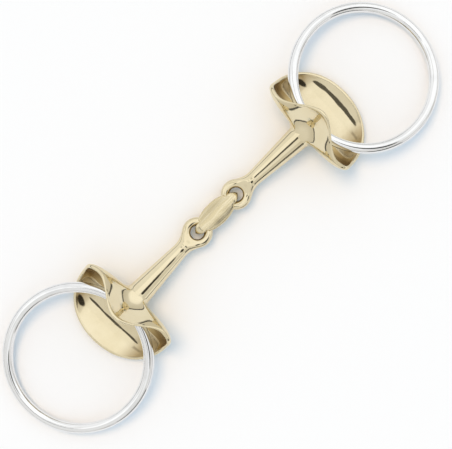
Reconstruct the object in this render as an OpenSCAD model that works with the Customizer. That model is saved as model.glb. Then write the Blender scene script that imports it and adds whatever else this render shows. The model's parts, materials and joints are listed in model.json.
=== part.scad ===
// Loose ring snaffle bit with a double jointed mouthpiece.
// Two round rings run through saddle shaped lip shields on two tapered arms,
// and an oval link joins the eyes of the arms.
// The bit lies on a flat surface, X along the mouthpiece, Y across it, Z up.

/* [Rings] */
// Inside diameter of each loose ring
ring_inner_d = 68.8; // [60:0.1:80]
// Diameter of the ring wire
wire_d = 5.6; // [5:0.1:6]

/* [Arms] */
// Length of an arm from its bar in the link to the ring tunnel
arm_len = 59.4; // [54:0.1:68]
// Rod diameter beside the eye
rod_eye_d = 7.9; // [7:0.1:8.6]
// Rod diameter where it flares into the shield
rod_neck_d = 12.8; // [11.6:0.1:13.6]
// Outside diameter of the inner eye
eye_d = 16; // [15.6:0.1:17]
// Width of the bar that forms the eye, seen from above
eye_bar_w = 4.4; // [4:0.1:4.6]
// Thickness of the bar that forms the eye
eye_bar_t = 4.6; // [4.4:0.1:5]

/* [Lip shields] */
// Length of a shield along the ring tunnel
shield_len = 59; // [54:0.5:64]
// Half width of the front flap, from the tunnel to its lip
front_w = 12; // [10.6:0.1:13.4]
// Half width of the rear flap, from the tunnel to its rim
rear_w = 19.4; // [16:0.1:21]
// Height of the front lip above the tunnel
front_h = 11.9; // [10.6:0.1:13.4]
// Height of the rear rim above the tunnel
rear_h = 17.1; // [14:0.1:20]
// Height of the rim at the two ends of the shield
end_h = -1; // [-1.6:0.1:0.4]
// Wall of the shield
shield_wall = 2.4; // [2:0.1:2.8]
// Depth of the inside floor below the tunnel axis
floor_depth = 3.4; // [3.2:0.1:3.8]
// Angle between the rod and the axis of its shield
cant = 20; // [12:0.5:24]
// Length of the neck between the rod and the tunnel
neck_len = 11.4; // [10.8:0.1:12.6]

/* [Ring tunnel] */
// Length of the tunnel through the hub
hub_len = 12; // [10:0.5:14]
// Outside diameter of the hub
hub_d = 10.8; // [10.4:0.1:11.4]
// Play between the wire and the tunnel wall at the tightest place
tunnel_play = 0.35; // [0.2:0.05:0.5]

/* [Centre link] */
// Length of the link
link_len = 31.2; // [30.4:0.1:32.4]
// Width of the link
link_w = 12.6; // [11.6:0.1:13.4]
// Height of the link
link_h = 10.4; // [10:0.1:11.2]
// Distance between the two holes of the link
link_pitch = 17.2; // [16.6:0.1:17.8]
// Play between an eye bar and the wall of its hole
link_play = 0.5; // [0.4:0.05:0.6]
// Radius of the rounded mouth of each hole
mouth_r = 2.4; // [2:0.1:2.6]
// Drop of the link's crown from its middle to its sides
crown_drop = 1.2; // [0.8:0.1:1.6]

/* [Pose] */
// Angle by which both arms lie off the straight line
sway = 2; // [0:0.1:3]

/* [Hidden] */
$fn = 72;
// How far a cutter reaches past what it cuts
past = 1;

// Rings
wire_r = wire_d / 2;
ring_r = ring_inner_d / 2 + wire_r;
// How far the wire bends away from a straight line over the tunnel
wire_bow = ring_r - sqrt(ring_r * ring_r - hub_len * hub_len / 4);
bore_r = wire_r + wire_bow / 2 + tunnel_play;
ring_reach = ring_r - wire_bow / 2;

// Link
hole_r = eye_bar_t / 2 + link_play;
hole_x = link_pitch / 2;
side_h = link_w / 2;
// The sides of the link would meet this far beyond its rounded ends
tip_lead = 0.4;
point_x = link_len / 2 + tip_lead;
lens_facets = 180;
side_r = (point_x * point_x + side_h * side_h) / (2 * side_h);
crown_r = (side_h * side_h + crown_drop * crown_drop) / (2 * crown_drop);

// Arms, measured from the axis of the hole in the link
eye_bar_r = eye_bar_w / 2;
eye_mean_r = eye_d / 2 - eye_bar_r;
// How far the arms can fold up and down before they near the link
fold_up = 46;
fold_down = 64;
fold_play = 0.35;
// Half width of the link's end where it stands inside the eye
eye_play = 0.6;
land = eye_mean_r - eye_bar_r - eye_play;
// The bar bends away from the hole's axis towards its mouths, so its middle sits back a quarter of that
eye_bow = eye_mean_r - sqrt(eye_mean_r * eye_mean_r - land * land);
eye_x = eye_mean_r - eye_bow / 4;
// The rod grows out of the eye's bar with a rounded, slightly swollen root
root_round = 2.4;
root_swell = 0.35;
root_len = 4;
root_r = rod_eye_d / 2 + root_swell;
rod_start = eye_x + eye_mean_r - eye_bar_r + root_swell;
rod_even = eye_x + eye_d / 2 + root_len;
bend_at = arm_len - neck_len * cos(cant);
tunnel_x = arm_len;
tunnel_z = neck_len * sin(cant);

// Shield
rim_r = shield_wall / 2;
half_len = shield_len / 2 - rim_r;
under = -floor_depth - shield_wall;
neck_r = rod_neck_d / 2;
// The shield's skin starts just outside the rod and is closed by a narrower plug inside it
collar_step = 0.1;
collar_r = neck_r + collar_step;
plug_r = neck_r - 1;
plug_len = 2.6;
// Fullness of the rim seen along the rod, 2 is an ellipse
rim_power = 3.5;
// How late the rear rim rises from the shield's ends
rear_delay = 1.15;
// Share of the length over which the front lip rises
lip_share = 0.82;
// Lengths over which the skin leaves the rod, at the ends and at the front lip
flare = 4.5;
ramp = 11;
// Lengths over which the front lip curls up outside and inside, and how far it leans to the front
lip_curl = 7;
lip_back = 5;
lip_lean = 0.62;
// Share of the rim's width at which the underside turns up
shoulder_share = 0.86;
// Share of the wall's height over which the inside turns down from the rim
turn_share = 0.54;
// Share of the rim's width at which the inside runs out on the floor, and on the hub below the front lip
floor_share = 0.56;
hub_share = 0.24;
hub_top = 3.6;
hub_round = 0.9;
around = 56;
outside_rows = 14;
rim_rows = 4;
inside_rows = 12;

function bezier(a, b, c, d, q) =
    pow(1 - q, 3) * a + 3 * q * pow(1 - q, 2) * b + 3 * q * q * (1 - q) * c + pow(q, 3) * d;
function unit(a) = a / norm(a);

// Shield points are [outward, along the tunnel, towards the front lip].
// Rim of the shield at angle t, 0 at one end and 90 at the front lip
function lip_rise(t) = (1 + cos(180 * min(1, abs(cos(t)) / lip_share))) / 2;
function at_front(t) = sin(t) >= 0;
function rim_rise(t) = at_front(t)
    ? (front_h - end_h) * lip_rise(t)
    : (rear_h - end_h) * pow(-sin(t), rear_delay);
function oval(t) = pow(max(0, 1 - pow(abs(cos(t)), rim_power)), 1 / rim_power);
function rim_side(t) = (at_front(t) ? front_w : -rear_w) * oval(t);
function rim(t) = [end_h + rim_rise(t), half_len * cos(t), rim_side(t)];
// How much a point belongs to the front lip, 1 at its middle
function lip_share_at(t) = at_front(t) ? lip_rise(t) : 0;
function mix(a, b, share) = a + share * (b - a);

// Curve from the rod, out under the shield and up to its rim
rod_dir = [cos(cant), 0, -sin(cant)];
rod_up = [sin(cant), 0, cos(cant)];
neck_mid = [-neck_len, 0, 0];
function neck(t, r) = neck_mid + r * (cos(t) * [0, 1, 0] + sin(t) * rod_up);
function flat(a) = [0, a[1], a[2]];
function wall(t) = rim(t) - shoulder_share * flat(rim(t)) - [under, 0, 0];
function rim_dir(t) = unit(unit(wall(t)) + [0, 0, lip_lean * lip_share_at(t)]);
function rim_out(t) =
    let (r = unit(flat(rim(t))), d = rim_dir(t))
    unit(r - (r * d) * d);
function outer_edge(t) = rim(t) + rim_r * rim_out(t);
function inner_edge(t) = rim(t) - rim_r * rim_out(t);
function outside(t, q) =
    let (f = lip_share_at(t))
    bezier(
        neck(t, collar_r),
        neck(t, collar_r) + mix(flare, ramp, f) * rod_dir,
        outer_edge(t) - mix(norm(wall(t)), lip_curl, f) * rim_dir(t),
        outer_edge(t),
        q);
function lip(t, a) = rim(t) + rim_r * (cos(a) * rim_out(t) + sin(a) * rim_dir(t));
function inside(t, q) =
    let (f = lip_share_at(t))
    bezier(
        inner_edge(t),
        inner_edge(t) - mix(turn_share * norm(wall(t)), lip_back, f) * rim_dir(t),
        mix(floor_share, hub_share, f) * flat(rim(t)) + [mix(-floor_depth, hub_top, f), 0, 0],
        [-floor_depth, 0, 0],
        q);

// Rows of the closed skin, from inside the rod to the last row before the floor's middle
function ring_row(f) = [for (i = [0 : around - 1]) f(i * 360 / around)];
rows = concat(
    [ring_row(function (t) neck(t, plug_r) - plug_len * rod_dir)],
    [for (j = [0 : outside_rows]) ring_row(function (t) outside(t, j / outside_rows))],
    [for (j = [1 : rim_rows - 1]) ring_row(function (t) lip(t, j * 180 / rim_rows))],
    [for (j = [0 : inside_rows - 1]) ring_row(function (t) inside(t, j / inside_rows))]);
last = len(rows) - 1;
skin_points = concat(
    [for (r = rows) each r],
    [neck_mid - plug_len * rod_dir, [-floor_depth, 0, 0]]);
function at(j, i) = j * around + i % around;
skin_faces = concat(
    [for (j = [0 : last - 1], i = [0 : around - 1]) [at(j, i), at(j + 1, i), at(j, i + 1)]],
    [for (j = [0 : last - 1], i = [0 : around - 1]) [at(j, i + 1), at(j + 1, i), at(j + 1, i + 1)]],
    [for (i = [0 : around - 1]) [len(skin_points) - 2, at(0, i), at(0, i + 1)]],
    [for (i = [0 : around - 1]) [at(last, i), len(skin_points) - 1, at(last, i + 1)]]);

// Pose of the bit at rest: how deep the shield reaches below its tunnel at a tilt,
// then the pitch at which link and shield touch the surface together
function shield_drop(tilt) = max([for (p = skin_points) -(p[0] * sin(tilt) + p[2] * cos(tilt))]);
function rest_pitch(n) = n == 0 ? 0
    : let (a = rest_pitch(n - 1))
      asin((shield_drop(a + cant) - link_h / 2 - tunnel_z * cos(a)) / tunnel_x);
settle_steps = 8;
pitch = rest_pitch(settle_steps);
tunnel_h = link_h / 2 + tunnel_x * sin(pitch) + tunnel_z * cos(pitch);
tunnel_out = tunnel_x * cos(pitch) - tunnel_z * sin(pitch);
ring_drop = asin((tunnel_h - wire_r) / (ring_reach + ring_r));
// The rings lie level with the Y origin, so the link sits a little to one side
link_y = (tunnel_out + ring_reach * cos(ring_drop)) * sin(sway);
pivot = [hole_x, link_y, link_h / 2];
tunnel = pivot + [tunnel_out * cos(sway), -tunnel_out * sin(sway), tunnel_h - link_h / 2];

module shield_skin() {
    polyhedron(points = skin_points, faces = skin_faces, convexity = 8);
}

module hub() {
    rotate([90, 0, 0])
        intersection() {
            cylinder(d = hub_d, h = hub_len, center = true);
            sphere(r = norm([hub_d, hub_len]) / 2 - hub_round);
        }
}

module tunnel_bore() {
    rotate([90, 0, 0])
        cylinder(r = bore_r, h = hub_len + 2 * past, center = true);
}

module shield() {
    difference() {
        union() {
            shield_skin();
            hub();
        }
        tunnel_bore();
    }
}

module eye() {
    rotate_extrude()
        translate([eye_mean_r, 0])
        union() {
            translate([0, (eye_bar_t - eye_bar_w) / 2]) circle(r = eye_bar_r);
            translate([0, -(eye_bar_t - eye_bar_w) / 2]) circle(r = eye_bar_r);
            square([eye_bar_w, eye_bar_t - eye_bar_w], center = true);
        }
}

// The rod starts as a rounded root inside the eye's bar and tapers out to the neck
module rod() {
    rotate([0, 90, 0])
        rotate_extrude()
        polygon(concat(
            [for (a = [0 : 15 : 90]) [root_r * sin(a), rod_start + root_round * (1 - cos(a))]],
            [[rod_eye_d / 2, rod_even], [neck_r, bend_at], [0, bend_at]]));
}

module arm() {
    translate([eye_x, 0, 0]) eye();
    rod();
    translate([tunnel_x, 0, tunnel_z]) rotate([0, -cant, 0]) shield();
}

module placed_arm() {
    translate(pivot) rotate([0, 0, -sway]) rotate([0, -pitch, 0]) arm();
}

module placed_ring() {
    translate(tunnel) rotate([0, 0, -sway]) rotate([0, ring_drop, 0])
        translate([ring_reach, 0, 0])
        rotate_extrude() translate([ring_r, 0]) circle(r = wire_r);
}

module lens(half, r) {
    intersection() {
        translate([0, half - r]) circle(r = r, $fn = lens_facets);
        translate([0, r - half]) circle(r = r, $fn = lens_facets);
    }
}

// Point at a distance r in direction a, moved sideways
function beside(a, r, aside) = r * [cos(a), sin(a)] + aside * [-sin(a), cos(a)];

// Rounded mouth at one side of a hole, open to the outside beyond the link's end
module mouth() {
    rotate_extrude()
        difference() {
            translate([0, land - mouth_r]) square([link_len, link_w]);
            translate([hole_r + mouth_r, land - mouth_r]) circle(r = mouth_r);
            translate([hole_r + mouth_r, land - mouth_r]) square([link_len, mouth_r]);
        }
}

// Space that the eye's bar sweeps as the arm folds up and down
module fold_space() {
    bar_r = eye_bar_t / 2 + fold_play;
    linear_extrude(height = 2 * link_w, center = true)
        polygon([
            beside(90 + fold_up, bar_r, 0), beside(90 + fold_up, bar_r, -link_len),
            beside(-90 - fold_down, bar_r, link_len), beside(-90 - fold_down, bar_r, 0)]);
}

// A straight hole whose mouths are rounded where the eye turns out of it.
// Where the eye folds up and down, the link is no wider than the space inside the eye.
module link_hole() {
    rotate([90, 0, 0])
        union() {
            cylinder(r = hole_r, h = link_w + 2 * past, center = true);
            intersection() {
                fold_space();
                mouth();
            }
            intersection() {
                fold_space();
                mirror([0, 0, 1]) mouth();
            }
        }
}

module link_body() {
    intersection() {
        linear_extrude(height = link_h + 2 * past, center = true) lens(side_h, side_r);
        rotate([90, 0, 0])
            linear_extrude(height = link_w + 2 * past, center = true)
            union() {
                translate([link_len / 2 - link_h / 2, 0]) circle(d = link_h);
                translate([link_h / 2 - link_len / 2, 0]) circle(d = link_h);
                square([link_len - link_h, link_h], center = true);
            }
        rotate([90, 0, 90])
            linear_extrude(height = link_len + 2 * past, center = true) lens(link_h / 2, crown_r);
    }
}

module centre_link() {
    color("goldenrod")
        translate([0, link_y, link_h / 2])
        difference() {
            link_body();
            translate([hole_x, 0, 0]) link_hole();
            mirror([1, 0, 0]) translate([hole_x, 0, 0]) link_hole();
        }
}

module right_arm() {
    color("gold") placed_arm();
}

module left_arm() {
    color("gold") mirror([1, 0, 0]) placed_arm();
}

module right_ring() {
    color("silver") placed_ring();
}

module left_ring() {
    color("silver") mirror([1, 0, 0]) placed_ring();
}

centre_link();
left_arm();
right_arm();
left_ring();
right_ring();
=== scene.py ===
# %% [markdown]
# # A loose ring snaffle bit
# The bit has five pieces: an oval link, two arms that end in saddle shaped lip shields, and two
# round rings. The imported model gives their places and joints, but its solids have flat facets.
# Polished metal shows every facet, because a mirror turns a small change of slope into a broken
# reflection. So each piece is made again here as a fine, smooth mesh on the same sizes, and then
# stands for its node.

# %% Load the frame
import json
import math

import bmesh
import bpy
from mathutils import Matrix, Vector


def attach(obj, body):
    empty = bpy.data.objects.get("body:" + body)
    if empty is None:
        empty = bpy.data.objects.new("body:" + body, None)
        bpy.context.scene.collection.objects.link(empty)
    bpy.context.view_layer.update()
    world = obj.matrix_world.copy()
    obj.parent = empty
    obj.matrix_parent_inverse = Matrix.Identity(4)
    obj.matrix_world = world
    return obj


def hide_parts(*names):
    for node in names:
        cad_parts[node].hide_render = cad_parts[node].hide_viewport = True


MM = 0.001
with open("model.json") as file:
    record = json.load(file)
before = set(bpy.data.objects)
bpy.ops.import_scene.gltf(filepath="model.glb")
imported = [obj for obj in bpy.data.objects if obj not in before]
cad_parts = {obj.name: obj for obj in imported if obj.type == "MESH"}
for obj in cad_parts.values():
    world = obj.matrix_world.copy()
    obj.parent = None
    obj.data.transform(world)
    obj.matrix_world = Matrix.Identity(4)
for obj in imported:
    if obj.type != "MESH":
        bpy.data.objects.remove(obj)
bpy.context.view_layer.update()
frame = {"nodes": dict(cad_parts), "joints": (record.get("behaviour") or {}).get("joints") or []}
joints = {joint["name"]: joint for joint in frame["joints"]}
print("nodes:", ", ".join(sorted(frame["nodes"])))

# %% [markdown]
# The sizes are written in millimetres, as a maker would give them, in the cell that first needs
# them. The places aren't written down: the fold joint lies on the hole in the link and the swing
# joint on the ring's tunnel, so the line between the two gives the arm's pitch and how far it
# sways from the straight line. The ring slopes down from its tunnel until it touches the table.

# %% Sizes that set the places, in millimetres
RING_INSIDE = 68.8
WIRE = 5.6
ARM_LENGTH = 59.4
NECK_LENGTH = 11.4
CANT = math.radians(20)
HUB_LENGTH = 12.0

pivot = Vector(joints["right_arm_fold"]["pos_m"]) / MM
tunnel = Vector(joints["right_ring_swing"]["pos_m"]) / MM
arm_line = tunnel - pivot
sway = math.atan2(-arm_line.y, arm_line.x)
tunnel_rise = NECK_LENGTH * math.sin(CANT)
pitch = math.atan2(arm_line.z, arm_line.xy.length) - math.atan2(tunnel_rise, ARM_LENGTH)
print(f"arm pitch {math.degrees(pitch):.2f}, sway {math.degrees(sway):.2f} degrees")

# %% Slope of the rings
wire_r = WIRE / 2
ring_r = RING_INSIDE / 2 + wire_r
wire_bow = ring_r - math.sqrt(ring_r ** 2 - HUB_LENGTH ** 2 / 4)
ring_reach = ring_r - wire_bow / 2
ring_slope = math.asin((tunnel.z - wire_r) / (ring_reach + ring_r))
print(f"ring slope {math.degrees(ring_slope):.2f} degrees")


# %% Places of the pieces
def turned(angle, axis):
    return Matrix.Rotation(angle, 4, axis)


heading = turned(-sway, "Z")
ARM_PLACE = Matrix.Translation(pivot) @ heading @ turned(-pitch, "Y")
RING_PLACE = Matrix.Translation(tunnel) @ heading @ turned(ring_slope, "Y")
RING_PLACE = RING_PLACE @ Matrix.Translation((ring_reach, 0, 0))
LINK_PLACE = Matrix.Translation((0, pivot.y, pivot.z))
SIDES = {"right": Matrix.Identity(4), "left": Matrix.Scale(-1, 4, (1, 0, 0))}
print("middle of the right ring in mm:", [round(part, 2) for part in RING_PLACE.translation])

# %% [markdown]
# The camera hangs straight above the table. Its roll puts the bit on the photograph's diagonal,
# and its lens makes the photograph's width cover the same stretch of table.

# %% Camera
CAMERA_HEIGHT = 708.0
CAMERA_OVER = (-0.58, -4.37)
CAMERA_ROLL = math.radians(-44.45)
VIEW_WIDTH = 234.4
SUBJECT_HEIGHT = 8.0
SENSOR_WIDTH = 36

camera_data = bpy.data.cameras.new("camera")
camera_data.sensor_width = SENSOR_WIDTH
camera_data.lens = SENSOR_WIDTH * (CAMERA_HEIGHT - SUBJECT_HEIGHT) / VIEW_WIDTH
camera_data.clip_start = 0.01
camera = bpy.data.objects.new("camera", camera_data)
camera.location = Vector((*CAMERA_OVER, CAMERA_HEIGHT)) * MM
camera.rotation_euler = (0, 0, CAMERA_ROLL)
bpy.context.scene.collection.objects.link(camera)
bpy.context.scene.camera = camera
print(f"lens {camera_data.lens:.1f} mm")

# %% [markdown]
# Most pieces here follow a rule, so Geometry Nodes make them. A rule with a few dozen terms is
# hard to follow as a picture of nodes and easy as a formula, so a small class lets the script
# add, scale and compare sockets as if they were numbers, and each step becomes one node. The
# metals and the room use the same formulas in their shaders.

# %% Arithmetic on node sockets
class Field:
    """A node socket that takes part in formulas."""

    def __init__(self, socket):
        self.socket = socket
        self.is_vector = socket.type == "VECTOR"

    def __add__(self, other):
        return vector("ADD", self, other) if self.is_vector else scalar("ADD", self, other)

    def __sub__(self, other):
        return vector("SUBTRACT", self, other) if self.is_vector else scalar("SUBTRACT", self, other)

    def __mul__(self, other):
        if isinstance(other, Field) and other.is_vector:
            return vector("SCALE", other, self)
        return vector("SCALE", self, other) if self.is_vector else scalar("MULTIPLY", self, other)

    def __radd__(self, other):
        return self + other

    def __rmul__(self, other):
        return self * other

    def __rsub__(self, other):
        return self * -1 + other

    def __neg__(self):
        return self * -1

    def __truediv__(self, other):
        return scalar("DIVIDE", self, other)

    def __pow__(self, power):
        return scalar("POWER", self, power)

    def __abs__(self):
        return scalar("ABSOLUTE", self)


# %% Nodes for one step of a formula
def plug(value, socket):
    """Links a field into a socket, or sets the socket to a plain value."""
    if isinstance(value, Field):
        socket.id_data.links.new(value.socket, socket)
    else:
        socket.default_value = value


def add_node(kind, values):
    """A new node in the tree that the values belong to."""
    tree = next(value.socket.id_data for value in values if isinstance(value, Field))
    return tree.nodes.new(kind)


def scalar(operation, *values):
    node = add_node("ShaderNodeMath", values)
    node.operation = operation
    for value, socket in zip(values, node.inputs):
        plug(value, socket)
    return Field(node.outputs["Value"])


def vector(operation, *values):
    node = add_node("ShaderNodeVectorMath", values)
    node.operation = operation
    sockets = [node.inputs[0], node.inputs["Scale"]] if operation == "SCALE" else node.inputs
    for value, socket in zip(values, sockets):
        plug(value, socket)
    gives_number = operation in ("DOT_PRODUCT", "LENGTH")
    return Field(node.outputs["Value" if gives_number else "Vector"])


def combine(x, y, z):
    node = add_node("ShaderNodeCombineXYZ", (x, y, z))
    for value, socket in zip((x, y, z), node.inputs):
        plug(value, socket)
    return Field(node.outputs["Vector"])


def split(place):
    node = add_node("ShaderNodeSeparateXYZ", (place,))
    plug(place, node.inputs["Vector"])
    return [Field(socket) for socket in node.outputs]


# %% Common formulas
def larger(a, b):
    return scalar("MAXIMUM", a, b)


def smooth_larger(a, b, reach):
    return scalar("SMOOTH_MAX", a, b, reach)


def smooth_smaller(a, b, reach):
    return scalar("SMOOTH_MIN", a, b, reach)


def choose(first, a, b):
    """a where first is 1 and b where it is 0."""
    return (first * -1 + 1) * b + first * a


def bezier(a, b, c, d, q):
    """The point at share q of the curve from a to d with the handles b and c."""
    p = 1 - q
    return a * (p * p * p) + b * (p * p * q * 3) + c * (p * q * q * 3) + d * (q * q * q)


# %% Trees
def new_tree(name, sizes):
    """A tree with one named input for each size, and those inputs as fields."""
    tree = bpy.data.node_groups.new(name, "GeometryNodeTree")
    tree.interface.new_socket("Geometry", in_out="INPUT", socket_type="NodeSocketGeometry")
    tree.interface.new_socket("Geometry", in_out="OUTPUT", socket_type="NodeSocketGeometry")
    tree.interface.new_socket("Finish", in_out="INPUT", socket_type="NodeSocketMaterial")
    for size, value in sizes.items():
        kind = "NodeSocketInt" if isinstance(value, int) else "NodeSocketFloat"
        socket = tree.interface.new_socket(size, in_out="INPUT", socket_type=kind)
        socket.default_value = value
    group_input = tree.nodes.new("NodeGroupInput")
    fields = {socket.name: Field(socket) for socket in group_input.outputs if socket.name}
    print(f"{name}: {len(sizes)} named sizes")
    return tree, fields


def make(tree, kind, output, settings=None, **inputs):
    """A node with its inputs plugged in by name. Underscores stand for spaces."""
    node = tree.nodes.new(kind)
    for setting, value in (settings or {}).items():
        setattr(node, setting, value)
    for name, value in inputs.items():
        plug(value, node.inputs[name.replace("_", " ")])
    return Field(node.outputs[output])


def joined(tree, *geometries):
    node = tree.nodes.new("GeometryNodeJoinGeometry")
    for geometry in geometries:
        plug(geometry, node.inputs["Geometry"])
    return Field(node.outputs["Geometry"])


def end_tree(tree, geometry, finish):
    """Shades the result smooth, makes instances real, sets its finish and hands it out."""
    smooth = make(tree, "GeometryNodeSetShadeSmooth", "Geometry", Geometry=geometry)
    real = make(tree, "GeometryNodeRealizeInstances", "Geometry", Geometry=smooth)
    done = make(tree, "GeometryNodeSetMaterial", "Geometry", Geometry=real, Material=finish)
    plug(done, tree.nodes.new("NodeGroupOutput").inputs["Geometry"])


# %% Meshes that the trees make
def face_outwards(mesh):
    """Turns all faces of a closed mesh outwards, and says where it isn't closed."""
    shape = bmesh.new()
    shape.from_mesh(mesh)
    bmesh.ops.recalc_face_normals(shape, faces=shape.faces)
    if shape.calc_volume(signed=True) < 0:
        bmesh.ops.reverse_faces(shape, faces=shape.faces)
    open_edges = sum(not edge.is_manifold for edge in shape.edges)
    shape.to_mesh(mesh)
    print(f"volume {shape.calc_volume(signed=True) / MM ** 3:.0f} mm3, {open_edges} open edges")
    shape.free()


def grow(name, tree, place, finish, base=None):
    """Runs a tree, places its mesh and returns a plain object at the origin."""
    piece = bpy.data.objects.new(name, base or bpy.data.meshes.new(name + "_start"))
    bpy.context.scene.collection.objects.link(piece)
    modifier = piece.modifiers.new("rule", "NODES")
    modifier.node_group = tree
    for socket in tree.interface.items_tree:
        if socket.in_out == "INPUT" and socket.name == "Finish":
            modifier[socket.identifier] = finish
    depsgraph = bpy.context.evaluated_depsgraph_get()
    mesh = bpy.data.meshes.new_from_object(piece.evaluated_get(depsgraph))
    piece.modifiers.clear()
    mesh.transform(Matrix.Scale(MM, 4) @ place)
    face_outwards(mesh)
    mesh.name = name
    piece.data = mesh
    triangles = sum(len(polygon.vertices) - 2 for polygon in mesh.polygons)
    print(f"{name}: {len(mesh.vertices)} points, {triangles} triangles")
    return piece


# %% [markdown]
# The mouthpiece is a pale gold copper alloy and the rings are polished steel wire. Polishing by
# hand leaves marks that a mirror shows. The surface waves a little, so a straight reflection
# wobbles. Fine lines follow the wheel, along the rod and along the wire. A haze of handling lies
# over it in patches. All of them are worked out from the place on the piece, in metres, because
# a picture wrapped round such forms would stretch.

# %% Patterns that the metals share
NOISE_ROUGHNESS = 0.55


def noise(place, per_metre, detail):
    return make(place.socket.id_data, "ShaderNodeTexNoise", "Fac", Vector=place, Scale=per_metre,
                Detail=detail, Roughness=NOISE_ROUGHNESS)


def line_noise(place, per_metre, detail):
    """Noise in lines: it changes at a rate of its own along each axis."""
    return noise(vector("MULTIPLY", place, per_metre), 1.0, detail)


def wave_noise(place, per_metre, ripples_per_metre, ripple_share):
    """Long, shallow waves with smaller ripples on them."""
    ripples = noise(place, ripples_per_metre, detail=1.0)
    return noise(place, per_metre, detail=1.0) + ripples * ripple_share


def steps(value, low, high):
    """0 below low, 1 above high, and a soft change between."""
    return make(value.socket.id_data, "ShaderNodeMapRange", "Result",
                {"interpolation_type": "SMOOTHSTEP"}, Value=value, From_Min=low, From_Max=high)


def blend(share, first, second):
    """A colour that goes from first to second as share goes from 0 to 1."""
    node = share.socket.id_data.nodes.new("ShaderNodeMix")
    node.data_type = "RGBA"
    colour_sockets = [socket for socket in node.inputs if socket.type == "RGBA"]
    plug(share, node.inputs["Factor"])
    for colour, socket in zip((first, second), colour_sockets):
        plug(colour if isinstance(colour, Field) else (*colour, 1), socket)
    return Field(next(socket for socket in node.outputs if socket.type == "RGBA"))


# %% A metal and its marks
WAVE_DEPTH = 0.14
LINE_DEPTH = 0.0016


def metal(name):
    """A new metal: its material, its tree and the place on the piece."""
    material = bpy.data.materials.new(name)
    material.use_nodes = True
    tree = material.node_tree
    tree.nodes["Principled BSDF"].inputs["Metallic"].default_value = 1
    print("metal:", name)
    return material, tree, make(tree, "ShaderNodeTexCoord", "Object")


def finish_metal(tree, colour, roughness, waves, lines):
    """Plugs the marks into the shader. Waves and lines are heights between 0 and 1."""
    shader = tree.nodes["Principled BSDF"]
    wavy = make(tree, "ShaderNodeBump", "Normal", Height=waves, Distance=WAVE_DEPTH * MM,
                Strength=1.0)
    lined = make(tree, "ShaderNodeBump", "Normal", Height=lines, Distance=LINE_DEPTH * MM,
                 Strength=1.0, Normal=wavy)
    plug(colour, shader.inputs["Base Color"])
    plug(roughness, shader.inputs["Roughness"])
    plug(lined, shader.inputs["Normal"])


# %% [markdown]
# Shade is painted into the gold: it turns brown in narrow recesses, inside the eyes and in the
# curled ends of the shields, where shade and gold reflecting gold darken the real metal. Ambient
# occlusion finds the narrow recesses. The other two are found by their place and by which way the
# surface faces, since the inside of an eye or of a hollow is the side that faces its middle.

# %% Where shade is painted into the gold
EYE_OUTSIDE = 16.0
EYE_BAR_WIDTH = 4.4
RECESS_REACH = 0.022
HOLLOW_END_START = 0.012
HOLLOW_END = 0.023
EYE_REACH = 0.0095
EYE_FADE = 0.85
OCCLUSION_SAMPLES = 8
NARROW = (0.15, 0.6)
HOLLOW_FACING = (0.05, 0.45)
EYE_FACING = (0.0, 0.5)
eye_middle = ARM_PLACE @ Vector(((EYE_OUTSIDE - EYE_BAR_WIDTH) / 2, 0, 0))


def offset_from(middle, place):
    """The way to a place from a point of the right half, or from its mirror image on the left."""
    x, y, z = split(place)
    return combine(abs(x) - middle.x * MM, y - middle.y * MM, z - middle.z * MM)


def faces_back(offset, facing):
    """1 where the surface faces the point that the offset starts at, -1 where it faces away."""
    return -vector("DOT_PRODUCT", vector("NORMALIZE", offset), facing)


def painted_shade_shares(tree, place):
    """Three shares of painted shade between 0 and 1: narrow recesses, ends of the hollows, insides
    of the eyes.
    """
    x, y, _ = split(place)
    normal_x, normal_y, normal_z = split(make(tree, "ShaderNodeTexCoord", "Normal"))
    facing = combine(normal_x * scalar("SIGN", x), normal_y, normal_z)
    # ambient occlusion sets where shade is painted in narrow recesses
    openness = make(tree, "ShaderNodeAmbientOcclusion", "AO",
                    {"only_local": True, "samples": OCCLUSION_SAMPLES}, Distance=RECESS_REACH)
    narrow = steps(1 - openness, *NARROW)
    hollow = steps(faces_back(offset_from(tunnel, place), facing), *HOLLOW_FACING)
    hollow_ends = hollow * steps(abs(y - tunnel.y * MM), HOLLOW_END_START, HOLLOW_END)
    from_eye = offset_from(eye_middle, place)
    near_eye = 1 - steps(vector("LENGTH", from_eye), EYE_REACH * EYE_FADE, EYE_REACH)
    return narrow, hollow_ends, steps(faces_back(from_eye, facing), *EYE_FACING) * near_eye


print("middle of the right eye in mm:", [round(part, 2) for part in eye_middle])

# %% [markdown]
# The eyes and the link rub on each other, so the metal is duller and scuffed there. The arms are
# polished to a mirror. The link is only brushed along its length, which leaves deeper lines and
# fine streaks of colour, so the same recipe makes it with other amounts.

# %% Rubbing at the eyes
RUB_REACH = 0.013
RUB_CORE = 0.35
RUB_SQUEEZE = (1, 0.7, 1)
SCUFF_RATES = (1900, 160, 1900)
SCUFFS = (0.62, 0.7)


def rubbing(place):
    """How much the pieces rub here, and where that has scuffed the metal."""
    to_hole = vector("MULTIPLY", offset_from(pivot, place), RUB_SQUEEZE)
    rubbed = 1 - steps(vector("LENGTH", to_hole), RUB_REACH * RUB_CORE, RUB_REACH)
    return rubbed, steps(line_noise(place, SCUFF_RATES, detail=1.0), *SCUFFS)


print(f"rubbed within {RUB_REACH / MM:.0f} mm of the holes")

# %% Pale gold alloy
GOLD = (0.80, 0.71, 0.50)
GOLD_TARNISHED = (0.71, 0.61, 0.39)
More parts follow.
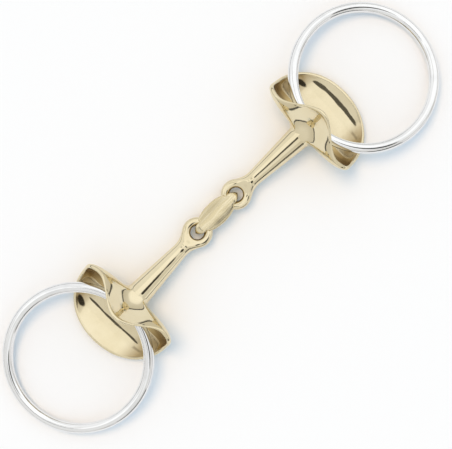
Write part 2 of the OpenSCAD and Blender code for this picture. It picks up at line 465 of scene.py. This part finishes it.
# painted shade: the brown that recesses, hollow ends and the eyes' insides are darkened to
GOLD_IN_PAINTED_SHADE = (0.26, 0.165, 0.05)
HAZE_RATE = 130.0
HAZE_PATCHES = (0.42, 0.75)
HAZE_SHARE = 0.2
TARNISH_RATE = 45.0
TARNISH_PATCHES = (0.35, 0.75)
TARNISH_SHIFT = (0.3, 0.1, 0.2)
TARNISH_SHARE = 0.5
PAINTED_SHADE_SHARE = 0.75
LINE_RUN = 70
STREAKS = (0.38, 0.62)
SCUFF_DEPTH = 0.8
ROUGHER = {"hollow ends": 0.05, "haze": 0.03, "lines": 0.025, "rubbed": 0.04, "scuffs": 0.08}


def gold(name, least_roughness, line_share, lines_per_metre, streak_share, eye_share):
    """The alloy. The shares say how much its lines, its streaks and the painted shade inside the
    eyes show.
    """
    material, tree, place = metal(name)
    haze = steps(noise(place, HAZE_RATE, detail=4.0), *HAZE_PATCHES)
    tarnish = steps(noise(place + TARNISH_SHIFT, TARNISH_RATE, detail=3.0), *TARNISH_PATCHES)
    lines = line_noise(place, (LINE_RUN, lines_per_metre, lines_per_metre), detail=2.0)
    streaks = steps(lines, *STREAKS) * streak_share
    rubbed, scuffs = rubbing(place)
    narrow, hollow_ends, eyes = painted_shade_shares(tree, place)
    painted_shade_mix = larger(larger(narrow, hollow_ends), eyes * eye_share)
    tarnished = tarnish * TARNISH_SHARE + haze * HAZE_SHARE + streaks
    colour = blend(tarnished, GOLD, GOLD_TARNISHED)
    # painted shade: the gold is darkened to brown in recesses, at the hollows' ends and inside the
    # eyes
    colour = blend(painted_shade_mix * (PAINTED_SHADE_SHARE + haze * (1 - PAINTED_SHADE_SHARE)), colour, GOLD_IN_PAINTED_SHADE)
    roughness = least_roughness + hollow_ends * ROUGHER["hollow ends"] + haze * ROUGHER["haze"]
    roughness = roughness + lines * ROUGHER["lines"]
    roughness = roughness + rubbed * (ROUGHER["rubbed"] + scuffs * ROUGHER["scuffs"])
    waves = wave_noise(place, per_metre=85.0, ripples_per_metre=330.0, ripple_share=0.09)
    finish_metal(tree, colour, roughness, waves, lines * line_share + scuffs * rubbed * SCUFF_DEPTH)
    return material


gold_polished = gold("gold_polished", least_roughness=0.03, line_share=1.0,
                     lines_per_metre=2600.0, streak_share=0.0, eye_share=1.0)
gold_brushed = gold("gold_brushed", least_roughness=0.14, line_share=20.0,
                    lines_per_metre=800.0, streak_share=0.9, eye_share=0.0)

# %% [markdown]
# The rings are drawn wire, so their lines run round the ring. The angle round the ring's middle
# takes the place of the length along the rod.

# %% Ring steel
STEEL = (0.87, 0.875, 0.88)
STEEL_DULL = (0.76, 0.77, 0.785)
STEEL_ROUGHNESS = 0.03
STEEL_WAVES = 0.8
DULL_RATE = 110.0
DULL_PATCHES = (0.42, 0.78)
DULL_SHARE = 0.6
DULL_ROUGHNESS = 0.03
WIRE_LINE_RATES = (9, 2800, 2800)
WIRE_LINE_SHARE = 1.4
WIRE_LINE_ROUGHNESS = 0.05

ring_steel, tree, place = metal("ring_steel")
from_middle, aside, _ = split(offset_from(RING_PLACE.translation, place))
round_ring = scalar("ARCTAN2", aside, from_middle)
across_wire = vector("LENGTH", combine(from_middle, aside, 0.0))
on_wire = combine(round_ring, across_wire, split(place)[2])
lines = line_noise(on_wire, WIRE_LINE_RATES, detail=3.0)
dull = steps(noise(place, DULL_RATE, detail=4.0), *DULL_PATCHES)
steel_colour = blend(dull * DULL_SHARE, STEEL, STEEL_DULL)
steel_roughness = STEEL_ROUGHNESS + lines * WIRE_LINE_ROUGHNESS + dull * DULL_ROUGHNESS
waves = wave_noise(place, per_metre=70.0, ripples_per_metre=300.0, ripple_share=0.1) * STEEL_WAVES
finish_metal(tree, steel_colour, steel_roughness, waves, lines * WIRE_LINE_SHARE)

# %% [markdown]
# A loose ring is a straight wire bent to a circle and welded. A circle curve carries a smaller
# circle along itself, which is the same thing done with two curve nodes.

# %% Rings
ring_tree, size = new_tree("loose ring", {
    "Inside diameter": RING_INSIDE,
    "Wire diameter": WIRE,
    "Steps round the ring": 240,
    "Steps round the wire": 48,
})
middle_r = (size["Inside diameter"] + size["Wire diameter"]) / 2
circle = make(ring_tree, "GeometryNodeCurvePrimitiveCircle", "Curve",
              Resolution=size["Steps round the ring"], Radius=middle_r)
section = make(ring_tree, "GeometryNodeCurvePrimitiveCircle", "Curve",
               Resolution=size["Steps round the wire"], Radius=size["Wire diameter"] / 2)
wire = make(ring_tree, "GeometryNodeCurveToMesh", "Mesh", Curve=circle, Profile_Curve=section)
end_tree(ring_tree, wire, size["Finish"])

rings = {}
for side, mirror in SIDES.items():
    rings[side] = grow(f"{side}_loose_ring", ring_tree, mirror @ RING_PLACE, ring_steel)

# %% [markdown]
# The eye and the root of the rod are one casting with soft hollows between them. That is what a
# subdivision surface is good at: a coarse cage of a bent bar, opened on its outside, with rings
# of points that lead from the opening to the round rod. The cage is in the arm's own frame, with
# the hole in the link at the origin and the rod along X. A subdivision surface lies a little
# inside its cage, so the cage is made larger by as much.

# %% Sizes of the eye and of the rod's root
EYE_BAR_THICKNESS = 4.6
EYE_PLAY = 0.6
ROD_AT_EYE = 7.9
ROD_AT_NECK = 12.8
ROOT_LENGTH = 4.0
JOIN_LENGTH = 3.0

eye_r = EYE_OUTSIDE / 2 - EYE_BAR_WIDTH / 2
land = eye_r - EYE_BAR_WIDTH / 2 - EYE_PLAY
eye_bow = eye_r - math.sqrt(eye_r ** 2 - land ** 2)
eye_x = eye_r - eye_bow / 4
even_x = eye_x + EYE_OUTSIDE / 2 + ROOT_LENGTH
bend_x = ARM_LENGTH - NECK_LENGTH * math.cos(CANT)
taper = (ROD_AT_NECK - ROD_AT_EYE) / 2 / (bend_x - even_x)
join_x = even_x + JOIN_LENGTH


def rod_radius(x):
    return ROD_AT_EYE / 2 + taper * (x - even_x)


ROOT_RINGS = [(even_x - 3.1, 4.45), (even_x - 1.5, 4.15), (even_x + 0.3, 4.0)]
ROOT_RINGS += [(x, rod_radius(x)) for x in (even_x + 1.7, join_x)]
print(f"eye's middle at {eye_x:.2f} mm, rod joins at {join_x:.1f} mm")

# %% Points of the cage
QUARTER = 3
CAGE_COLUMNS = 8 * QUARTER
SECTION_POINTS = 4 * QUARTER
BAR_FULLNESS = 0.13


def cage_growth(points):
    """How much larger a ring of cage points is than the round that it leads to."""
    return 6 / (4 + 2 * math.cos(math.tau / points))


def bar_section(k):
    """Point k of the eye's section: outwards from the eye, and up."""
    angle = math.tau * k / SECTION_POINTS
    fullness = 1 + BAR_FULLNESS * math.sin(2 * angle) ** 2
    growth = cage_growth(SECTION_POINTS)
    out = EYE_BAR_WIDTH / 2 * growth * fullness * math.cos(angle)
    up = EYE_BAR_THICKNESS / 2 * growth * fullness * math.sin(angle)
    return out, up


def eye_point(i, k):
    out, up = bar_section(k)
    angle = math.tau * i / CAGE_COLUMNS
    reach = eye_r + out
    growth = cage_growth(CAGE_COLUMNS)
    return (eye_x + reach * growth * math.cos(angle), reach * growth * math.sin(angle), up)


print(f"cage grown by {cage_growth(SECTION_POINTS):.3f} and {cage_growth(CAGE_COLUMNS):.3f}")


# %% Faces of the cage
def in_opening(i, k):
    """Whether face i, k of the bar is left out, where the rod leaves it."""
    i = (i + CAGE_COLUMNS // 2) % CAGE_COLUMNS - CAGE_COLUMNS // 2
    k = (k + SECTION_POINTS // 2) % SECTION_POINTS - SECTION_POINTS // 2
    return -QUARTER <= i < QUARTER and -QUARTER <= k < QUARTER


def add_bar(shape):
    """Adds the bent bar with its opening, and returns its points."""
    inside = range(-QUARTER + 1, QUARTER)
    bar = {}
    for i in range(-CAGE_COLUMNS // 2, CAGE_COLUMNS // 2):
        for k in range(-SECTION_POINTS // 2, SECTION_POINTS // 2):
            if not (i in inside and k in inside):
                bar[i % CAGE_COLUMNS, k % SECTION_POINTS] = shape.verts.new(eye_point(i, k))
    for i in range(CAGE_COLUMNS):
        for k in range(SECTION_POINTS):
            corners = [(i, k), (i + 1, k), (i + 1, k + 1), (i, k + 1)]
            if not in_opening(i, k):
                shape.faces.new([bar[a % CAGE_COLUMNS, b % SECTION_POINTS] for a, b in corners])
    return bar


def opening_rim(bar):
    """The bar's points round the opening, in the order of the rod's points."""
    q = QUARTER
    rim = [(q, k) for k in range(0, q)] + [(i, q) for i in range(q, -q, -1)]
    rim += [(-q, k) for k in range(q, -q, -1)] + [(i, -q) for i in range(-q, q)]
    rim += [(q, k) for k in range(-q, 0)]
    return [bar[i % CAGE_COLUMNS, k % SECTION_POINTS] for i, k in rim]


def add_ring(shape, x, radius):
    reach = radius * cage_growth(CAGE_COLUMNS)
    angles = [math.tau * k / CAGE_COLUMNS for k in range(CAGE_COLUMNS)]
    return [shape.verts.new((x, reach * math.cos(a), reach * math.sin(a))) for a in angles]


def eye_cage():
    shape = bmesh.new()
    loop = opening_rim(add_bar(shape))
    for x, radius in ROOT_RINGS:
        ring = add_ring(shape, x, radius)
        for k in range(CAGE_COLUMNS):
            following = (k + 1) % CAGE_COLUMNS
            shape.faces.new((loop[k], loop[following], ring[following], ring[k]))
        loop = ring
    bmesh.ops.recalc_face_normals(shape, faces=shape.faces)
    mesh = bpy.data.meshes.new("eye_cage")
    shape.to_mesh(mesh)
    shape.free()
    return mesh


cage = eye_cage()
print(f"eye cage: {len(cage.polygons)} faces")

# %% [markdown]
# The rod and the shield are one skin. It starts round at the eye, widens along the rod, runs up
# a ramp to the front lip, flares out under the rest of the shield, turns over a rounded rim and
# comes back as the inside of the hollow, where it rises over the hub of the ring's tunnel. Seen
# from the ring's side the rim is an oval, raised as one hump at the front lip and as a full arch
# at the rear. The front lip is rolled over a little, with a crease before its bead. Each point
# of the skin has an angle round the rim and a share of the way along, so five flat grids, bent
# by that rule, make the skin. A fine mesh reaches further out than the solid's flat facets, so
# the rim is drawn in by a hair to stay inside the solid's box.

# %% Sizes of the arm
SHIELD_LENGTH = 59.0
FRONT_WIDTH = 12.0
REAR_WIDTH = 19.4
FRONT_HEIGHT = 11.9
REAR_HEIGHT = 17.1
END_HEIGHT = -1.0
SHIELD_WALL = 2.4
FLOOR_DEPTH = 3.4
HUB_DIAMETER = 10.8
TUNNEL_PLAY = 0.35
HAIR = 0.13
CAGE_LEVELS = 3

arm_tree, size = new_tree("arm with lip shield", {
    "Columns": CAGE_COLUMNS * 2 ** CAGE_LEVELS,
    "Eye levels": CAGE_LEVELS,
    "Rod start": join_x,
    "Rod start radius": rod_radius(join_x),
    "Neck radius": ROD_AT_NECK / 2,
    "Neck length": NECK_LENGTH,
    "Arm length": ARM_LENGTH,
    "Cant": CANT,
    "Shield length": SHIELD_LENGTH,
    "Front width": FRONT_WIDTH - HAIR,
    "Rear width": REAR_WIDTH - HAIR,
    "Front height": FRONT_HEIGHT,
    "Rear height": REAR_HEIGHT,
    "End height": END_HEIGHT,
    "Wall": SHIELD_WALL,
    "Floor depth": FLOOR_DEPTH,
    "Hub radius": HUB_DIAMETER / 2,
    "Hub length": HUB_LENGTH,
    "Bore radius": wire_r + wire_bow / 2 + TUNNEL_PLAY,
})

# %% Angle round the rim and share of the way along
cant_cos = scalar("COSINE", size["Cant"])
cant_sin = scalar("SINE", size["Cant"])
bend = size["Arm length"] - size["Neck length"] * cant_cos
rim_r = size["Wall"] / 2

across, along, _ = split(make(arm_tree, "GeometryNodeInputPosition", "Position"))
turn = (across + 0.5) * math.tau
q = along + 0.5
turn_cos = scalar("COSINE", turn)
turn_sin = scalar("SINE", turn)


def to_arm(place):
    """From the shield's frame (outward, along the tunnel, towards the front lip) to the arm's."""
    out, aside, up = split(place)
    x = size["Arm length"] + out * cant_cos - up * cant_sin
    z = size["Neck length"] * cant_sin + out * cant_sin + up * cant_cos
    return combine(x, aside, z)


print(f"arm tree: {len(arm_tree.nodes)} nodes so far")

# %% The rim
RIM_FULLNESS = 3.5
REAR_DELAY = 1.15
LIP_SHARE = 0.82
FRONT_FROM = -1e-5

at_front = scalar("GREATER_THAN", turn_sin, FRONT_FROM)
square = abs(turn_cos) ** RIM_FULLNESS + abs(turn_sin) ** RIM_FULLNESS
fullness = square ** (-1 / RIM_FULLNESS)
end_share = abs(turn_cos) * fullness
hump = (scalar("COSINE", scalar("MINIMUM", end_share / LIP_SHARE, 1.0) * math.pi) + 1) / 2
front_rise = (size["Front height"] - size["End height"]) * hump
arch = larger(1 - end_share * end_share, 0.0) ** (REAR_DELAY / 2)
rear_rise = (size["Rear height"] - size["End height"]) * arch
rim_out = size["End height"] + choose(at_front, front_rise, rear_rise)
rim_aside = (size["Shield length"] / 2 - rim_r) * turn_cos * fullness
rim_up = choose(at_front, size["Front width"], size["Rear width"]) * turn_sin * fullness
rim = combine(rim_out, rim_aside, rim_up)
rim_flat = combine(0.0, rim_aside, rim_up)
lip_share = at_front * hump
print(f"arm tree with its rim: {len(arm_tree.nodes)} nodes")

# %% The curves that meet the rim
SHOULDER_SHARE = 0.86
LIP_LEAN = 0.45

radial = combine(turn_sin * cant_sin, turn_cos, turn_sin * cant_cos)
rod_way = combine(cant_cos, 0.0, -cant_sin)
neck = combine(-size["Neck length"], 0.0, 0.0) + radial * size["Neck radius"]
under = combine((size["Floor depth"] + size["Wall"]) * -1, 0.0, 0.0)
wall = rim - rim_flat * SHOULDER_SHARE - under
wall_height = vector("LENGTH", wall)
outward = vector("NORMALIZE", rim_flat)
lean = combine(0.0, 0.0, lip_share * LIP_LEAN)
rim_way = vector("NORMALIZE", vector("NORMALIZE", wall) + lean)
rim_side = vector("NORMALIZE", outward - rim_way * vector("DOT_PRODUCT", outward, rim_way))
print(f"arm tree with its curves: {len(arm_tree.nodes)} nodes")

# %% Skin of the rod, the outside and the rim
FLARE = 4.5
RAMP = 8.0
LIP_CURL = 6.0
LIP_CREASE = 0.9

rod_x = size["Rod start"] + (bend - size["Rod start"]) * q
rod_r = size["Rod start radius"] + (size["Neck radius"] - size["Rod start radius"]) * q
rod_skin = combine(rod_x, rod_r * turn_cos, rod_r * turn_sin)

crease = lip_share * LIP_CREASE
edge_aside = rim_side * (scalar("COSINE", crease) * rim_r)
edge_back = rim_way * (scalar("SINE", crease) * rim_r)
outer_edge = rim + edge_aside - edge_back
flare_way = rod_way + radial * taper
leave = choose(lip_share, RAMP, FLARE)
curl = choose(lip_share, LIP_CURL, wall_height)
outside_skin = bezier(neck, neck + flare_way * leave, outer_edge - rim_way * curl, outer_edge, q)

lip_turn = q * (crease + math.pi) - crease
lip_way = rim_side * scalar("COSINE", lip_turn) + rim_way * scalar("SINE", lip_turn)
lip_skin = rim + lip_way * rim_r
print(f"arm tree with its outside: {len(arm_tree.nodes)} nodes")

# %% Skin of the hollow and its hub
LIP_BACK = 5.0
TURN_SHARE = 0.54
FLOOR_SHARE = 0.56
HUB_SHARE = 0.24
HUB_TOP = 3.6
HUB_EASE = 0.2
HUB_FILLET = 2.4
HUB_SIDE_POWER = 4
HUB_END_POWER = 6
FAR_BELOW = -30.0

inner_edge = rim - rim_side * rim_r
turn_down = choose(lip_share, LIP_BACK, wall_height * TURN_SHARE)
floor_level = choose(lip_share, HUB_TOP, -size["Floor depth"])
floor_share = choose(lip_share, HUB_SHARE, FLOOR_SHARE)
floor_handle = rim_flat * floor_share + combine(floor_level, 0.0, 0.0)
floor_middle = combine(-size["Floor depth"], 0.0, 0.0)


def inside_skin(share):
    """The hollow's inside, with the tunnel's hub rising from its floor."""
    inner_handle = inner_edge - rim_way * turn_down
    out, aside, up = split(bezier(inner_edge, inner_handle, floor_handle, floor_middle, share))
    hub_wide = size["Hub radius"] - HUB_EASE
    hub_long = size["Hub length"] / 2 + HUB_EASE
    fall = (abs(up) / hub_wide) ** HUB_SIDE_POWER + (abs(aside) / hub_long) ** HUB_END_POWER
    hub_top = size["Hub radius"] - fall * (size["Hub radius"] + size["Floor depth"])
    return combine(smooth_larger(out, larger(hub_top, FAR_BELOW), HUB_FILLET), aside, up)


print(f"arm tree with its hollow: {len(arm_tree.nodes)} nodes")

# %% The bands of the skin
BAND_ROWS = {"rod": 30, "outside": 48, "rim": 12, "hollow": 36, "hub": 44}
HUB_BAND = 0.64
SEAM = 0.001


def band(rows, skin):
    """A grid of one column for each step round the rim, bent to a skin."""
    grid = make(arm_tree, "GeometryNodeMeshGrid", "Mesh", Size_X=1.0, Size_Y=1.0,
                Vertices_X=size["Columns"] + 1, Vertices_Y=rows + 1)
    return make(arm_tree, "GeometryNodeSetPosition", "Geometry", Geometry=grid, Position=skin)


bands = [
    band(BAND_ROWS["rod"], rod_skin),
    band(BAND_ROWS["outside"], to_arm(outside_skin)),
    band(BAND_ROWS["rim"], to_arm(lip_skin)),
    band(BAND_ROWS["hollow"], to_arm(inside_skin(q * HUB_BAND))),
    band(BAND_ROWS["hub"], to_arm(inside_skin(HUB_BAND + q * (1 - HUB_BAND)))),
]
eye_skin = make(arm_tree, "GeometryNodeSubdivisionSurface", "Mesh",
                Mesh=size["Geometry"], Level=size["Eye levels"])
closed = make(arm_tree, "GeometryNodeMergeByDistance", "Geometry",
              Geometry=joined(arm_tree, eye_skin, *bands), Distance=SEAM)
closed = make(arm_tree, "GeometryNodeTriangulate", "Mesh", Mesh=closed)
print(f"{len(bands)} bands of skin and the eye")

# %% The ring's tunnel and the two arms
BORE_SPARE = 4
BORE_SIDES = 96
SLIVER = 0.004

bore = make(arm_tree, "GeometryNodeMeshCylinder", "Mesh", Vertices=BORE_SIDES,
            Radius=size["Bore radius"], Depth=size["Hub length"] + BORE_SPARE)
bore_place = combine(size["Arm length"], 0.0, size["Neck length"] * cant_sin)
bore = make(arm_tree, "GeometryNodeTransform", "Geometry", Geometry=bore,
            Translation=bore_place, Rotation=(math.pi / 2, 0, 0))
bored = make(arm_tree, "GeometryNodeMeshBoolean", "Mesh",
             {"operation": "DIFFERENCE", "solver": "MANIFOLD"}, Mesh_1=closed, Mesh_2=bore)
clean = make(arm_tree, "GeometryNodeMergeByDistance", "Geometry", Geometry=bored, Distance=SLIVER)
end_tree(arm_tree, clean, size["Finish"])

arms = {}
for side, mirror in SIDES.items():
    arms[side] = grow(f"{side}_lip_arm", arm_tree, mirror @ ARM_PLACE, gold_polished, cage)

# %% [markdown]
# The link is a barrel with two holes across it, and all its edges are soft, the mouths of the
# holes most of all. A notch on each side of its ends lets the eye fold. Blending one shape out of
# another is easiest as a distance: each form says how far a point lies outside it, the largest
# of those is the distance to what they share, and a smooth largest rounds the edges where they
# meet. A volume holds that distance and a mesh is drawn where it is nought.

# %% Sizes of the link
LINK_LENGTH = 31.2
LINK_WIDTH = 12.6
LINK_HEIGHT = 10.4
LINK_PITCH = 17.2
LINK_PLAY = 0.5
LINK_MOUTH = 2.4
LINK_POINT_LEAD = 0.4
CROWN_DROP = 1.2
FOLD_UP = math.radians(46)
FOLD_DOWN = math.radians(64)
FOLD_PLAY = 0.35

link_half = LINK_WIDTH / 2
link_point = LINK_LENGTH / 2 + LINK_POINT_LEAD
link_tree, size = new_tree("oval link", {
    "Length": LINK_LENGTH,
    "Width": LINK_WIDTH,
    "Height": LINK_HEIGHT,
    "Hole pitch": LINK_PITCH,
    "Hole radius": EYE_BAR_THICKNESS / 2 + LINK_PLAY,
    "Mouth radius": LINK_MOUTH,
    "End half width": land,
    "Bar room": EYE_BAR_THICKNESS / 2 + FOLD_PLAY,
    "Side radius": (link_point ** 2 + link_half ** 2) / (2 * link_half),
    "Crown drop": CROWN_DROP,
    "Edge rounding": 1.8,
    "Notch rounding": 0.9,
    "Fineness": 5,
})


# %% Distance to the link
def rounded_corner(a, b, radius):
    """Distance to a quarter plane, below nought in a and b, whose corner is rounded."""
    beyond = combine(larger(a + radius, 0.0), larger(b + radius, 0.0), 0.0)
    return vector("LENGTH", beyond) + scalar("MINIMUM", larger(a, b) + radius, 0.0) - radius


def blank_distance(x, y, z):
    """How far a point lies outside the barrel, before its holes and notches are cut."""
    half_w = size["Width"] / 2
    half_h = size["Height"] / 2
    drop = size["Crown drop"]
    crown_r = (half_w * half_w + drop * drop) / (drop * 2)
    side_r = size["Side radius"]
    oval_side = vector("LENGTH", combine(x, y + side_r - half_w, 0.0)) - side_r
    run = larger(x - size["Length"] / 2 + half_h, 0.0)
    round_end = vector("LENGTH", combine(run, z, 0.0)) - half_h
    crown = vector("LENGTH", combine(y, abs(z) + crown_r - half_h, 0.0)) - crown_r
    barrel = smooth_larger(round_end, crown, size["Edge rounding"])
    return smooth_larger(barrel, oval_side, size["Edge rounding"])


def link_distance(place):
    """How far a point lies outside the link."""
    x, y, z = split(place)
    x, y = abs(x), abs(y)
    from_hole = x - size["Hole pitch"] / 2
    hole = size["Hole radius"] - vector("LENGTH", combine(from_hole, z, 0.0))
    ends = rounded_corner(hole, y - size["End half width"], size["Mouth radius"])
    up_side = z * math.cos(FOLD_UP) - from_hole * math.sin(FOLD_UP)
    down_side = z * -math.cos(FOLD_DOWN) - from_hole * math.sin(FOLD_DOWN)
    beside_bar = size["Bar room"] - larger(up_side, down_side)
    narrowed = smooth_smaller(ends, beside_bar, size["Notch rounding"])
    notched = smooth_larger(blank_distance(x, y, z), narrowed, size["Notch rounding"])
    return larger(notched, hole)


# %% Link
BACKGROUND = 4.0
VOLUME_MARGIN = 1.0


def settled(geometry, distance, step=0.01):
    """Moves each point straight to where the distance is nought."""
    place = make(link_tree, "GeometryNodeInputPosition", "Position")
    here = distance(place)
    ways = [(step, 0, 0), (0, step, 0), (0, 0, step)]
    slope = combine(*[(distance(place + way) - here) / step for way in ways])
    shift = slope * (here * -1 / vector("DOT_PRODUCT", slope, slope))
    return make(link_tree, "GeometryNodeSetPosition", "Geometry", Geometry=geometry, Offset=shift)


half_box = Vector((LINK_LENGTH, LINK_WIDTH, LINK_HEIGHT)) / 2 + Vector.Fill(3, VOLUME_MARGIN)
voxels = [size["Fineness"] * round(2 * half) for half in half_box]
link_place = make(link_tree, "GeometryNodeInputPosition", "Position")
density = larger(BACKGROUND - link_distance(link_place), 0.0)
volume = make(link_tree, "GeometryNodeVolumeCube", "Volume", Density=density, Min=-half_box,
              Max=half_box, Resolution_X=voxels[0], Resolution_Y=voxels[1], Resolution_Z=voxels[2])
drawn = make(link_tree, "GeometryNodeVolumeToMesh", "Mesh", Volume=volume, Threshold=BACKGROUND)
end_tree(link_tree, settled(settled(drawn, link_distance), link_distance), size["Finish"])
link = grow("oval_link", link_tree, LINK_PLACE, gold_brushed)

# %% [markdown]
# Each piece moves with its own body and stands for its node.

# %% Pieces on their bodies
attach(link, "link")
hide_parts("centre_link")
for side in SIDES:
    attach(arms[side], f"{side}_arm")
    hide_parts(f"{side}_arm")
    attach(rings[side], f"{side}_ring")
    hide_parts(f"{side}_ring")
print("pieces:", ", ".join(piece.name for piece in (link, *arms.values(), *rings.values())))

# %% [markdown]
# The bit lies on a white table. Near the bit the metal mirrors that white. Further off the table
# is dark for mirror rays alone, as the end of a real table top would be, and this gives the thin
# dark lines along the edges of polished wire.

# %% Table
TABLE_HALF = 3.0
TABLE_WHITE = (0.93, 0.93, 0.93)
TABLE_FAR = (0.10, 0.10, 0.10)
WHITE_TO = 0.15
DARK_FROM = 0.30
BIT_HALF = 0.07

table_mesh = bpy.data.meshes.new("table")
corners = [(-1, -1), (1, -1), (1, 1), (-1, 1)]
table_mesh.from_pydata([(a * TABLE_HALF, b * TABLE_HALF, 0) for a, b in corners], [], [(0, 1, 2, 3)])
table = bpy.data.objects.new("table", table_mesh)
bpy.context.scene.collection.objects.link(table)
table_white = bpy.data.materials.new("table_white")
table_white.use_nodes = True
table_mesh.materials.append(table_white)
tree = table_white.node_tree
table_x, table_y, _ = split(make(tree, "ShaderNodeTexCoord", "Object"))
far = steps(larger(abs(table_x) - BIT_HALF, abs(table_y)), WHITE_TO, DARK_FROM)
mirrored = make(tree, "ShaderNodeLightPath", "Is Glossy Ray")
matt = tree.nodes["Principled BSDF"].inputs
plug(blend(mirrored * far, TABLE_WHITE, TABLE_FAR), matt["Base Color"])
matt["Roughness"].default_value = 1
matt["Specular IOR Level"].default_value = 0
print(f"table of {2 * TABLE_HALF:.0f} m")

# %% [markdown]
# A mirror shows the room and not the lamp, so the room is made with care: a pale dome with paler
# and darker cards and two dark gaps, and a horizon that is dark beside the bit and soft and light
# beyond its ends. It is drawn for mirror rays alone, on a flat map with the point overhead in
# the middle and the horizon as a circle of radius 1. The table is lit by an even, slightly blue
# sky and by a warm window light from one side, which together make it white and leave the shadow
# blue.

# %% Map of the room
LEAST = 0.01

world = bpy.data.worlds.new("studio")
world.use_nodes = True
bpy.context.scene.world = world
tree = world.node_tree
way_x, way_y, way_z = split(vector("NORMALIZE", make(tree, "ShaderNodeTexCoord", "Generated")))
stretch = larger(way_z + 1, LEAST)
along_bit = way_x / stretch
across_bit = way_y * -1 / stretch
from_overhead = vector("LENGTH", combine(along_bit, across_bit, 0.0))
print(f"map of the room: {len(tree.nodes)} nodes")

# %% Cards and gaps
DOME = 0.98
CARD_EDGE = 0.015
GAP_EDGE = 0.12
CARDS = {
    # middle along the bit and across it, reach along and across, level
    "lit side": (0.0, -0.45, 0.60, 0.30, 0.98),
    "shaded side": (0.0, 0.52, 0.60, 0.16, 0.78),
    "dark side": (-0.20, 0.80, 0.26, 0.10, 0.08),
    "tan end": (-0.57, 0.0, 0.39, 0.40, 0.86),
    "tan far end": (0.61, 0.0, 0.34, 0.40, 0.92),
    "white streak": (-0.20, -0.25, 0.10, 0.17, 1.16),
    "white end": (0.15, -0.12, 0.13, 0.18, 1.16),
    "cream middle": (-0.04, -0.09, 0.08, 0.16, 1.12),
    "pale spot": (0.50, 0.02, 0.22, 0.28, 1.16),
    "shade by the middle": (-0.005, -0.17, 0.03, 0.10, 0.70),
}
GAPS = {
    "gap beside the middle": (0.080, 0.212, 0.085, 0.150, 0.06),
    "gap at one end": (-0.145, 0.0, 0.032, 0.08, 0.12),
}

level = DOME
for middle_x, middle_y, reach_x, reach_y, card_level in CARDS.values():
    outside = larger(abs(along_bit - middle_x) - reach_x, abs(across_bit - middle_y) - reach_y)
    level = choose(1 - steps(outside, -CARD_EDGE, CARD_EDGE), card_level, level)
for middle_x, middle_y, reach_x, reach_y, gap_level in GAPS.values():
    share = combine((along_bit - middle_x) / reach_x, (across_bit - middle_y) / reach_y, 0.0)
    level = choose(1 - steps(vector("LENGTH", share), 1 - GAP_EDGE, 1 + GAP_EDGE), gap_level, level)
print("cards and gaps:", ", ".join([*CARDS, *GAPS]))

# %% Horizon
HORIZON = 0.95
HORIZON_EDGE = 0.03
HORIZON_SOFT_EDGE = 0.40
HORIZON_SIDES = 0.03
HORIZON_ENDS = 0.72
SIDES_FROM = 0.66
SIDES_TO = 0.90

at_sides = steps(abs(across_bit) / larger(from_overhead, LEAST), SIDES_FROM, SIDES_TO)
horizon_level = choose(at_sides, HORIZON_SIDES, HORIZON_ENDS)
horizon_start = HORIZON - choose(at_sides, HORIZON_EDGE, HORIZON_SOFT_EDGE)
beyond = steps(from_overhead, horizon_start, HORIZON + HORIZON_EDGE)
level = choose(beyond, horizon_level, level)
print(f"room with its horizon: {len(tree.nodes)} nodes")

# %% Room and sky
ROOM_WARM = (1.0, 0.97, 0.90)
ROOM_WHITE = (1.0, 1.0, 0.99)
WARM_BELOW = 0.5
WHITE_ABOVE = 1.0
SKY = (0.70, 0.82, 0.93)
BACKDROP = (1.0, 1.0, 1.0)

tint = blend(steps(level, WARM_BELOW, WHITE_ABOVE), ROOM_WARM, ROOM_WHITE)
room = vector("SCALE", tint, level)
light_path = tree.nodes.new("ShaderNodeLightPath")
seen = blend(Field(light_path.outputs["Is Glossy Ray"]), SKY, room)
seen = blend(Field(light_path.outputs["Is Camera Ray"]), seen, BACKDROP)
plug(seen, tree.nodes["Background"].inputs["Color"])
print(f"room of {len(CARDS)} cards and {len(GAPS)} gaps")

# %% Window light
WINDOW_STRENGTH = 1.22
WINDOW_WIDTH = math.radians(30)
WINDOW_COLOUR = (1.0, 0.68, 0.38)
WINDOW_LEAN = math.radians(-22)

window_data = bpy.data.lights.new("window", "SUN")
window_data.energy = WINDOW_STRENGTH
window_data.angle = WINDOW_WIDTH
window_data.color = WINDOW_COLOUR
window = bpy.data.objects.new("window", window_data)
window.rotation_euler = (WINDOW_LEAN, 0, 0)
window.visible_glossy = False
bpy.context.scene.collection.objects.link(window)
bpy.context.scene.view_settings.view_transform = "Standard"
print(f"window light leaning {math.degrees(WINDOW_LEAN):.0f} degrees")
